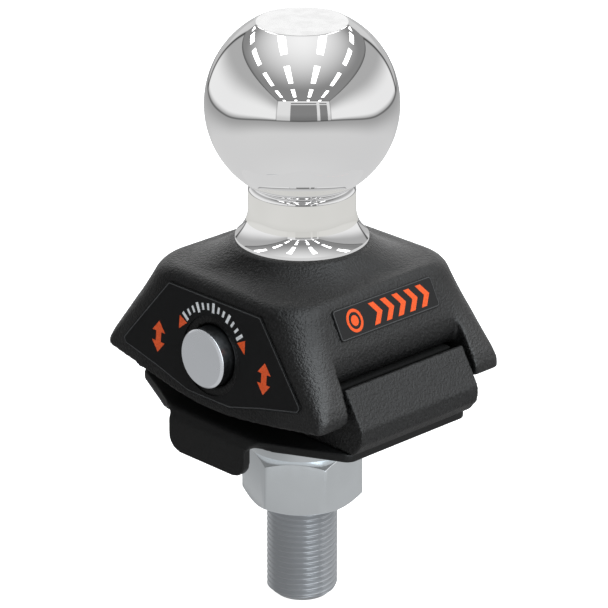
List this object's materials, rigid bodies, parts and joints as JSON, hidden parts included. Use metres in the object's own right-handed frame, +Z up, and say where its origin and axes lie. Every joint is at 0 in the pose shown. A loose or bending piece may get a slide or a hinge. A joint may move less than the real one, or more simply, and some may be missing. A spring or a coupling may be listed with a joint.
{
  "type": "cushioned rocking trailer hitch ball",
  "caption": "Chromed trailer hitch ball on a black rocker housing that pivots on a cushioned base, with an anti-rotation plate and a threaded stud with nut.",
  "frame": {"origin": "centre of the mounting stud's lower end", "axes": "+Z up along the stud towards the ball, +X fore and aft (the rocking direction), +Y along the pivot pin"},
  "size_m": [0.088, 0.0728, 0.1613],
  "materials": {
    "chrome": "polished chrome plate",
    "cast_black": "satin black powder coat on a cast surface",
    "sheet_black": "satin black coat on sheet steel",
    "zinc": "bright zinc plate",
    "pin_steel": "ground steel",
    "bronze": "plain bearing bronze",
    "rubber": "matte black rubber",
    "label": "satin black printed label"
  },
  "bodies": {
    "base": {"base_casting": "cast_black", "mounting_stud": "zinc", "anti_rotation_plate": "sheet_black", "plate_dowel_left": "zinc", "plate_dowel_right": "zinc", "pivot_bushing_front": "bronze", "pivot_bushing_rear": "bronze", "thrust_washer_front": "bronze", "thrust_washer_rear": "bronze", "cushion_left": "rubber", "cushion_right": "rubber"},
    "rocker": {"rocker_housing": "cast_black", "hitch_ball": "chrome", "pivot_pin": "pin_steel", "side_label_front": "label", "side_label_rear": "label", "end_label_left": "label", "end_label_right": "label"},
    "washer": {"lock_washer": "zinc"},
    "nut": {"hex_nut": "zinc"}
  },
  "joints": [
    {"name": "rock", "type": "hinge", "parent": "base", "child": "rocker", "pos_m": [0, 0, 0.078], "axis": [0, 1, 0], "range_deg": [-2, 2], "stiffness_Nm_per_rad": 1500, "deforming": ["cushion_left", "cushion_right"]},
    {"name": "washer_slide", "type": "slide", "parent": "base", "child": "washer", "axis": [0, 0, -1], "range_m": [-0.0078, 0.0152]},
    {"name": "nut_spin", "type": "hinge", "parent": "washer", "child": "nut", "pos_m": [0, 0, 0.044], "axis": [0, 0, -1], "range_deg": [-1760, 3440]}
  ],
  "couplings": [
    {"joint": "washer_slide", "follows": "nut_spin", "m_per_rad": 0.00025266}
  ]
}
